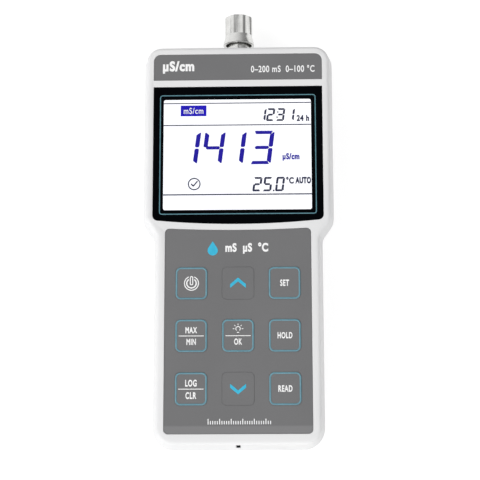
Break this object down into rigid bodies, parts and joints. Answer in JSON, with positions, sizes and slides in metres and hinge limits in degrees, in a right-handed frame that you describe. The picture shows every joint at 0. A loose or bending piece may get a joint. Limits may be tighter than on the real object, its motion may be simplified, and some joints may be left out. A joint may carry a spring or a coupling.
{
  "type": "portable conductivity meter",
  "caption": "Hand-held meter with a wide head for the display, a narrower grip with square keys, a capped bayonet socket at the end and a kickstand behind.",
  "frame": {"origin": "on the flat back, under the middle of the case", "axes": "+Z out of the display, +Y along the case towards the socket, +X to the right of someone who reads the display"},
  "size_m": [0.086, 0.202, 0.033],
  "materials": {
    "case_plastic": "fine moulded grain",
    "panel_plastic": "satin",
    "header_film": "satin printed film",
    "window_acrylic": "polished, printed on the back",
    "display_glass": "polished",
    "white_acrylic": "satin",
    "white_plastic": "moulded",
    "black_plastic": "moulded",
    "black_rubber": "matt",
    "pink_rubber": "matt",
    "circuit_board": "solder mask",
    "cell_jacket": "printed film",
    "screw_steel": "plain",
    "nickel_steel": "bright",
    "nickel_plate": "nickel plated, turned",
    "gold_brass": "gold plated"
  },
  "bodies": {
    "case": {"rear_case": "case_plastic", "front_case": "case_plastic", "case_seal": "black_rubber", "case_screws": "screw_steel", "header_plate": "header_film", "window_pane": "window_acrylic", "window_gasket": "black_rubber", "lcd_glass": "display_glass", "lcd_backlight": "white_acrylic", "lcd_frame": "white_plastic", "lcd_contact_strips": "pink_rubber", "keypad_overlay": "panel_plastic", "main_board": "circuit_board", "key_switches": "black_plastic", "board_chips": "black_plastic", "board_screws": "screw_steel", "buzzer": "black_plastic", "battery_door": "case_plastic", "door_gasket": "black_rubber", "door_screws": "screw_steel", "cell_left": "cell_jacket", "cell_middle": "cell_jacket", "cell_right": "cell_jacket", "contact_plates": "nickel_steel", "contact_springs": "nickel_steel", "kickstand_pins": "screw_steel", "socket_shell": "nickel_plate", "socket_insulator": "white_plastic", "socket_contact": "gold_brass", "socket_gasket": "black_rubber", "socket_washer": "nickel_steel", "socket_nut": "nickel_plate"},
    "power_key": {"key_power": "panel_plastic"},
    "up_key": {"key_up": "panel_plastic"},
    "set_key": {"key_set": "panel_plastic"},
    "mode_key": {"key_mode": "panel_plastic"},
    "enter_key": {"key_enter": "panel_plastic"},
    "unit_key": {"key_unit": "panel_plastic"},
    "memory_key": {"key_memory": "panel_plastic"},
    "down_key": {"key_down": "panel_plastic"},
    "measure_key": {"key_measure": "panel_plastic"},
    "stand": {"kickstand": "case_plastic"},
    "cap": {"cap_body": "nickel_plate", "cap_gasket": "black_rubber"},
    "ring": {"cap_ring": "nickel_plate"}
  },
  "joints": [
    {"name": "power_press", "type": "slide", "parent": "case", "child": "power_key", "axis": [0, 0, -1], "range_m": [0, 0.00035], "stiffness_N_per_m": 2500},
    {"name": "up_press", "type": "slide", "parent": "case", "child": "up_key", "axis": [0, 0, -1], "range_m": [0, 0.00035], "stiffness_N_per_m": 2500},
    {"name": "set_press", "type": "slide", "parent": "case", "child": "set_key", "axis": [0, 0, -1], "range_m": [0, 0.00035], "stiffness_N_per_m": 2500},
    {"name": "mode_press", "type": "slide", "parent": "case", "child": "mode_key", "axis": [0, 0, -1], "range_m": [0, 0.00035], "stiffness_N_per_m": 2500},
    {"name": "enter_press", "type": "slide", "parent": "case", "child": "enter_key", "axis": [0, 0, -1], "range_m": [0, 0.00035], "stiffness_N_per_m": 2500},
    {"name": "unit_press", "type": "slide", "parent": "case", "child": "unit_key", "axis": [0, 0, -1], "range_m": [0, 0.00035], "stiffness_N_per_m": 2500},
    {"name": "memory_press", "type": "slide", "parent": "case", "child": "memory_key", "axis": [0, 0, -1], "range_m": [0, 0.00035], "stiffness_N_per_m": 2500},
    {"name": "down_press", "type": "slide", "parent": "case", "child": "down_key", "axis": [0, 0, -1], "range_m": [0, 0.00035], "stiffness_N_per_m": 2500},
    {"name": "measure_press", "type": "slide", "parent": "case", "child": "measure_key", "axis": [0, 0, -1], "range_m": [0, 0.00035], "stiffness_N_per_m": 2500},
    {"name": "stand_swing", "type": "hinge", "parent": "case", "child": "stand", "pos_m": [0, 0.0755, 0.00185], "axis": [1, 0, 0], "range_deg": [0, 48]},
    {"name": "cap_pull", "type": "slide", "parent": "case", "child": "cap", "axis": [0, 1, 0], "range_m": [0, 0.014]},
    {"name": "cap_turn", "type": "hinge", "parent": "cap", "child": "ring", "pos_m": [0, 0.1, 0.0155], "axis": [0, 1, 0], "range_deg": [0, 50]}
  ]
}
